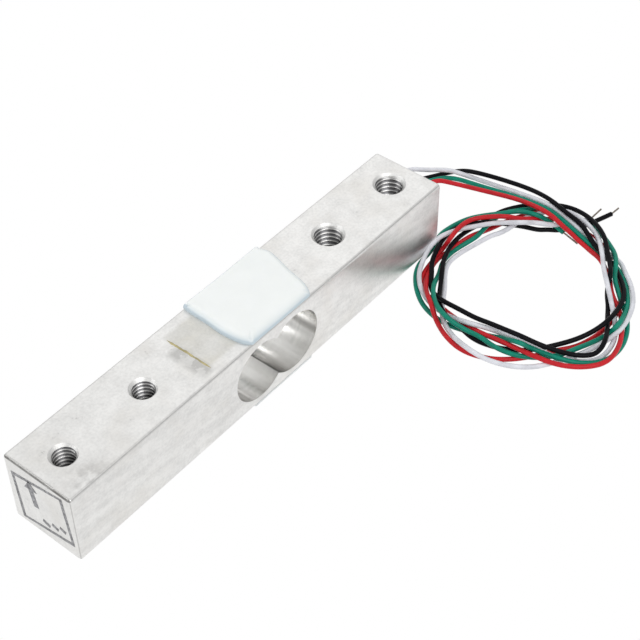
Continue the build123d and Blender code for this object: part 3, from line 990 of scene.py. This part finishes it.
class LOADCELL_OT_adhesive(bpy.types.Operator):
    """Lay the line of dried adhesive beside the silicone"""

    bl_idname = "loadcell.adhesive"
    bl_label = "Adhesive line"

    def execute(self, context):
        glue = speckled_finish("dried_adhesive", (0.44, 0.38, 0.19), 0.4, 0.0, 1200.0, 0.25)
        verts, faces = [], []
        steps, across = 60, 6
        for i in range(steps + 1):
            y = 3.7 - 8.3 * i / steps
            middle = -11.3 + 0.10 * noise.noise(Vector((y * 0.9, 1.7, 0.0)))
            half = 0.17 + 0.10 * noise.noise(Vector((y * 1.6, 5.2, 0.0)))
            half *= min(1.0, 3.0 * math.sin(math.pi * i / steps) + 0.05)
            for j in range(across + 1):
                t = 2 * j / across - 1
                rise = 0.07 * math.sqrt(max(0.0, 1 - t * t))
                verts.append(((middle + half * t) * MM, y * MM, BAR_HIGH.z + rise * MM))
        row = across + 1
        for i in range(steps):
            for j in range(across):
                faces.append((i * row + j, i * row + j + 1, (i + 1) * row + j + 1, (i + 1) * row + j))
        back = [i * row + across for i in reversed(range(steps + 1))]
        faces.append([i * row for i in range(steps + 1)] + back)
        piece = mesh_piece("adhesive_line", verts, faces, glue, 50.0)
        settle(piece, "silicone")
        return {"FINISHED"}


# Leads: shares of three control points in places along each piece of the spline
CURVE_SHARES = [((1 - t) ** 2 / 2, 0.5 + t - t * t, t * t / 2) for t in (i / 6 for i in range(6))]


def camera_place():
    """The photograph's camera, and the way from its aim towards it."""
    azimuth = math.radians(CAMERA_AZIMUTH)
    elevation = math.radians(CAMERA_ELEVATION)
    level = math.cos(elevation)
    away = Vector((math.sin(azimuth) * level, -math.cos(azimuth) * level, math.sin(elevation)))
    return CAMERA_AIM + away * CAMERA_DISTANCE, away


def on_sight_line(x, y, z):
    """A place that the camera sees on the level SEEN_HEIGHT, at another height, eased clear of the bar."""
    eye = camera_place()[0] / MM
    share = (eye.z - z) / (eye.z - SEEN_HEIGHT)
    x = eye.x + (x - eye.x) * share
    y = eye.y + (y - eye.y) * share
    beside = max(0.0, min(1.0, (BAR_HIGH.x / MM + CLEAR_FROM - x) / CLEAR_WAY))
    over = max(0.0, y - (BAR_LOW.y / MM - BAR_CLEARANCE))
    return x, y - over * beside * beside * (3 - 2 * beside)


def layer_at(layers, angle):
    at = max(0.0, min(len(layers) - 1.001, (LAYER_FIRST - angle) / LAYER_STEP))
    i = int(at)
    return layers[i] + (layers[i + 1] - layers[i]) * (at - i)


def lead_points(lead):
    """A lead's spline points: x, y, the height where it is set, and the layer."""
    z = lead["height"]
    points = [(x, LEAD_DEPTH, z, HELD_LAYER) for x in (LEAD_START, LEAD_START + LEAD_STRAIGHT)]
    points += [(*point, HELD_LAYER) for point in lead["hidden"]]
    drop = (lead["first_layer"] - lead["layers"][0]) / len(lead["seen"])
    points += [(x, y, None, lead["first_layer"] - drop * i) for i, (x, y) in enumerate(lead["seen"])]
    share = COIL_GRAIN / COIL_STEP
    for i in range(round((len(lead["radii"]) - 1) / share) + 1):
        angle = COIL_FIRST - COIL_GRAIN * i
        radius = between(lead["radii"], i * share)
        x = COIL_MIDDLE[0] + radius * math.cos(math.radians(angle))
        y = COIL_MIDDLE[1] + radius * math.sin(math.radians(angle))
        points.append((x, y, None, layer_at(lead["layers"], angle)))
    points += [(x, y, None, lead["layers"][-1]) for x, y in lead["end"]]
    return points


def lay_down(leads, size):
    """Rest the leads on the floor and on each other, with the higher layer on top."""
    points = [point for lead in leads.values() for point in lead]
    free = np.array([point[2] is None for point in points])
    z = np.array([START_HEIGHT if point[2] is None else point[2] for point in points])
    layer = np.array([point[3] for point in points])
    owner = np.repeat(range(len(leads)), [len(lead) for lead in leads.values()])
    inner = np.flatnonzero(owner[:-2] == owner[2:]) + 1
    loose = inner[free[inner]]
    shares = np.tile(CURVE_SHARES, (len(inner), 1))
    at = np.repeat(inner, len(CURVE_SHARES))
    three = at[:, None] + np.array((-1, 0, 1))
    level = (layer[three] * shares).sum(1)
    far_along = (owner[at][:, None] != owner[at]) | (abs(at[:, None] - at) > NEIGHBOURS)

    aside = np.zeros((len(points), 2))

    def places():
        on_line = [on_sight_line(*p[:2], h) if f else p[:2] for p, h, f in zip(points, z, free)]
        return np.array(on_line) + aside

    for _ in range(ROUNDS):
        spots = (places()[three] * shares[:, :, None]).sum(1)
        apart = ((spots[:, None] - spots) ** 2).sum(2)
        a, b = np.nonzero(np.triu((apart < size**2) & far_along, 1))
        swap = level[a] > level[b]
        lower, upper = np.where(swap, b, a), np.where(swap, a, b)
        need = np.sqrt(size**2 - apart[a, b])
        for step in range(HEIGHT_STEPS):
            if step < SAG_STEPS:
                z[loose] += STIFFNESS * ((z[loose - 1] + z[loose + 1]) / 2 - z[loose]) - SAG
            curve = (z[three] * shares).sum(1)
            short = np.maximum(0.0, need - (curve[upper] - curve[lower]))[:, None]
            rise, fall = np.zeros(len(z)), np.zeros(len(z))
            np.maximum.at(rise, three[upper], LIFT * short * shares[upper])
            np.maximum.at(fall, three[lower], LIFT * short * shares[lower])
            z += np.where(free, rise - fall, 0.0)
            z = np.where(free, np.clip(z, size / 2, TALLEST), z)
        for _ in range(SIDE_STEPS):
            place = np.column_stack((places(), z))
            spots = (place[three] * shares[:, :, None]).sum(1)
            between_two = spots[b] - spots[a]
            short = np.maximum(0.0, size - np.linalg.norm(between_two, axis=1))
            length = np.linalg.norm(between_two[:, :2], axis=1)
            flat = between_two[:, :2] / np.maximum(0.05, length)[:, None]
            push = np.zeros((len(z), 2))
            weight = np.full(len(z), 1e-6)
            for k in range(3):
                for end, way in ((b, 0.5), (a, -0.5)):
                    share = shares[end][:, k]
                    np.add.at(push, three[end][:, k], (way * short * share)[:, None] * flat)
                    np.add.at(weight, three[end][:, k], share * (short > 0))
            aside = np.clip(aside + push / weight[:, None] * free[:, None], -SIDE_LIMIT, SIDE_LIMIT)
    done, first = places(), 0
    for name, lead in leads.items():
        last = first + len(lead)
        leads[name] = [(*done[i], z[i]) for i in range(first, last)]
        first = last


def nurbs_curve(name, points, diameter, material):
    """A round wire on one smooth open spline."""
    curve = bpy.data.curves.new(name, "CURVE")
    curve.dimensions = "3D"
    curve.resolution_u = 8
    curve.bevel_depth = diameter / 2
    curve.bevel_resolution = 6
    curve.use_fill_caps = True
    spline = curve.splines.new("NURBS")
    spline.points.add(len(points) - 1)
    for control, point in zip(spline.points, points):
        control.co = (*(c * MM for c in point[:3]), 1.0)
    spline.order_u = 3
    spline.use_endpoint_u = True
    curve.materials.append(material)
    piece = bpy.data.objects.new(name, curve)
    bpy.context.scene.collection.objects.link(piece)
    return piece


def strand_tree():
    """Geometry nodes: six strands wound round one, as bare twisted wire."""
    tree, given = start_tree("bare_strands", "Length", "Radius", "Turns")
    strand = maths(tree, "DIVIDE", given["Radius"], 3.0)
    helix = helix_curve(tree, 24, given["Turns"], times(tree, strand, 2.0), given["Length"])
    section = put(tree, "GeometryNodeCurvePrimitiveCircle", {"Resolution": 8, "Radius": strand}).outputs[0]
    seats = put(tree, "GeometryNodeMeshLine", {"Count": 6, "Offset": (0, 0, 0)})
    index = tree.nodes.new("GeometryNodeInputIndex").outputs[0]
    spin = put(tree, "ShaderNodeCombineXYZ", {2: times(tree, index, math.pi / 3)}).outputs[0]
    copies = {"Points": seats.outputs[0], "Instance": sweep(tree, helix, section), "Rotation": spin}
    six = put(tree, "GeometryNodeInstanceOnPoints", copies)
    end = put(tree, "ShaderNodeCombineXYZ", {2: given["Length"]})
    line = put(tree, "GeometryNodeCurvePrimitiveLine", {"End": end.outputs[0]})
    whole = tree.nodes.new("GeometryNodeJoinGeometry")
    tree.links.new(six.outputs[0], whole.inputs[0])
    tree.links.new(sweep(tree, line.outputs[0], section), whole.inputs[0])
    return end_tree(tree, whole.outputs[0], given["Finish"])


class LOADCELL_OT_leads(bpy.types.Operator):
    """Lay the four leads along the back and round the loose coil, with bare ends"""

    bl_idname = "loadcell.leads"
    bl_label = "Leads"

    def execute(self, context):
        settings = context.scene.loadcell_leads
        wires = {name: lead_points(lead) for name, lead in LEADS.items()}
        lay_down(wires, REST_SIZE * settings.diameter / MM)
        tinned = speckled_finish("tinned_strands", (0.33, 0.29, 0.25), 0.4, 0.9, 3000.0, 0.3)
        strands = strand_tree()
        for name, lead in LEADS.items():
            insulation = insulation_finish(name, getattr(settings, name))
            route = wires[name]
            piece = nurbs_curve(f"{name}_wire", route, settings.diameter, insulation)
            nodes = [f"{name}_lead"]
            if name == "black":
                nodes += ["black_lead_tail", "lead_coil"]
            settle(piece, f"{name}_insulation", *nodes)
            end = Vector(route[-1][:3]) * MM
            tip = Vector((*on_sight_line(*lead["tip"], end.z / MM), end.z / MM)) * MM
            bare = tip - end
            start = end - bare.normalized() * STRAND_START * MM
            values = {
                "Length": (tip - start).length,
                "Radius": settings.core / 2,
                "Turns": (tip - start).length / (STRAND_TURN * MM),
                "Finish": tinned,
            }
            ends = run_tree(f"{name}_bare_end", strands, values)
            turn = Vector((0, 0, 1)).rotation_difference(bare).to_matrix().to_4x4()
            move_mesh(ends, Matrix.Translation(start) @ turn)
            tidy_mesh(ends, 50.0)
            settle(ends, "strands", f"{name}_lead_tip")
        return {"FINISHED"}


# Small parts under the silicone
PRESSED_WIRES = {"top_black_link_wire": 0.6, "top_green_link_wire": 0.6, "top_red_link_wire": 0.5}


class LOADCELL_OT_inner(bpy.types.Operator):
    """Give the gauges, wires and board under the silicone their finishes"""

    bl_idname = "loadcell.inner"
    bl_label = "Inner parts"

    def execute(self, context):
        finishes = {
            "film": speckled_finish("amber_film", (0.52, 0.24, 0.04), 0.3, 0.0),
            "grid": speckled_finish("etched_foil", (0.62, 0.56, 0.46), 0.3, 1.0),
            "solder": speckled_finish("bright_solder", (0.70, 0.70, 0.69), 0.25, 1.0),
            "board": speckled_finish("glass_epoxy", (0.30, 0.36, 0.12), 0.5, 0.0),
            "pads": speckled_finish("bare_copper", (0.72, 0.36, 0.20), 0.3, 1.0),
            "ends": speckled_finish("inner_strands", (0.55, 0.50, 0.44), 0.35, 0.9),
        }
        wires = context.scene.loadcell_leads
        for name in ("red", "green", "black", "white"):
            finishes[name] = insulation_finish(f"{name}_link", getattr(wires, name))
        for node_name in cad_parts:
            piece = bpy.data.objects.get(node_name)
            if piece is None or piece.hide_render:
                continue
            words = node_name.split("_")
            chosen = next((finishes[word] for word in reversed(words) if word in finishes), None)
            if chosen is None:
                chosen = finishes["green" if words[0] == "top" else "white"]
            if node_name in PRESSED_WIRES:
                copy = bpy.data.objects.new(f"{node_name}_pressed", piece.data.copy())
                context.scene.collection.objects.link(copy)
                tidy_mesh(copy, 40.0)
                press_under(copy, PRESSED_WIRES[node_name] * MM)
                settle(copy, f"{words[1]}_insulation", node_name)
                piece = copy
            piece.data.materials.clear()
            piece.data.materials.append(chosen)
        return {"FINISHED"}


# Stage
def area_light(name, place, size, power):
    """A soft light that shines on the middle of the load cell."""
    light = bpy.data.lights.new(name, "AREA")
    light.size = size
    light.energy = power
    lamp = bpy.data.objects.new(name, light)
    lamp.location = place
    lamp.rotation_euler = (Vector((0.01, 0, 0)) - Vector(place)).to_track_quat("-Z", "Y").to_euler()
    bpy.context.scene.collection.objects.link(lamp)


class LOADCELL_OT_stage(bpy.types.Operator):
    """Set the floor, the soft lights and the photograph's camera"""

    bl_idname = "loadcell.stage"
    bl_label = "Stage"

    def execute(self, context):
        scene = context.scene
        settings = scene.loadcell_stage
        scene.view_settings.view_transform = "Standard"
        material, tree, shader, place = start_material("pale_floor", settings.floor, 0.9)
        seen = tree.nodes.new("ShaderNodeLightPath").outputs
        glow = put(tree, "ShaderNodeEmission", {"Color": (1, 1, 1, 1), "Strength": 1.0})
        share = strongest(tree, seen["Is Camera Ray"], times(tree, seen["Is Glossy Ray"], 0.85))
        mix = put(tree, "ShaderNodeMixShader", {0: share, 1: shader.outputs[0], 2: glow.outputs[0]})
        tree.links.new(mix.outputs[0], tree.nodes["Material Output"].inputs[0])
        reach = 3.0
        corners = [(-reach, -reach, 0), (reach, -reach, 0), (reach, reach, 0), (-reach, reach, 0)]
        floor = mesh_piece("floor", corners, [(0, 1, 2, 3)], material)
        world = bpy.data.worlds.new("studio")
        scene.world = world
        world.use_nodes = True
        tree = world.node_tree
        seen = tree.nodes.new("ShaderNodeLightPath").outputs
        level = remap(tree, seen["Is Camera Ray"], 0.0, 1.0, settings.sky, 1.0)
        tree.links.new(level, tree.nodes["Background"].inputs["Strength"])
        tree.nodes["Background"].inputs["Color"].default_value = (1, 1, 1, 1)
        area_light("key_light", (-0.25, -0.55, 0.75), 0.6, 6.0 * settings.key)
        area_light("broad_light", (0.60, 0.58, 0.84), 1.0, settings.broad)
        area_light("rim_light", (-0.5, 0.5, 0.45), 0.4, 2.0 * settings.key)
        azimuth = math.radians(CAMERA_AZIMUTH)
        roll = math.radians(CAMERA_ROLL)
        eye, away = camera_place()
        right = Vector((math.cos(azimuth), math.sin(azimuth), 0))
        up = away.cross(right)
        turned_right = right * math.cos(roll) + up * math.sin(roll)
        turned_up = up * math.cos(roll) - right * math.sin(roll)
        data = bpy.data.cameras.new("camera")
        data.lens = CAMERA_LENS
        data.sensor_width = 36.0
        data.clip_start = 0.01
        camera = bpy.data.objects.new("camera", data)
        scene.collection.objects.link(camera)
        axes = Matrix((turned_right, turned_up, away)).transposed().to_4x4()
        camera.matrix_world = Matrix.Translation(eye) @ axes
        scene.camera = camera
        return {"FINISHED"}


class LOADCELL_PT_panel(bpy.types.Panel):
    """Buttons for each piece of the load cell"""

    bl_label = "Load Cell"
    bl_idname = "LOADCELL_PT_panel"
    bl_space_type = "VIEW_3D"
    bl_region_type = "UI"
    bl_category = "Load Cell"

    def draw(self, context):
        for operator in OPERATORS:
            self.layout.operator(operator.bl_idname)


SETTINGS = {
    "loadcell_bar": BarSettings,
    "loadcell_silicone": SiliconeSettings,
    "loadcell_leads": LeadSettings,
    "loadcell_stage": StageSettings,
}
OPERATORS = [
    LOADCELL_OT_stage,
    LOADCELL_OT_leads,
    LOADCELL_OT_bar,
    LOADCELL_OT_silicone,
    LOADCELL_OT_mark,
    LOADCELL_OT_adhesive,
    LOADCELL_OT_inner,
]


def register():
    for cls in [*SETTINGS.values(), *OPERATORS, LOADCELL_PT_panel]:
        bpy.utils.register_class(cls)
    for name, cls in SETTINGS.items():
        setattr(bpy.types.Scene, name, bpy.props.PointerProperty(type=cls))


def unregister():
    for name in SETTINGS:
        delattr(bpy.types.Scene, name)
    for cls in reversed([*SETTINGS.values(), *OPERATORS, LOADCELL_PT_panel]):
        bpy.utils.unregister_class(cls)


def main():
    register()
    for operator in OPERATORS:
        group, name = operator.bl_idname.split(".")
        getattr(getattr(bpy.ops, group), name)()


if __name__ == "__main__":
    main()
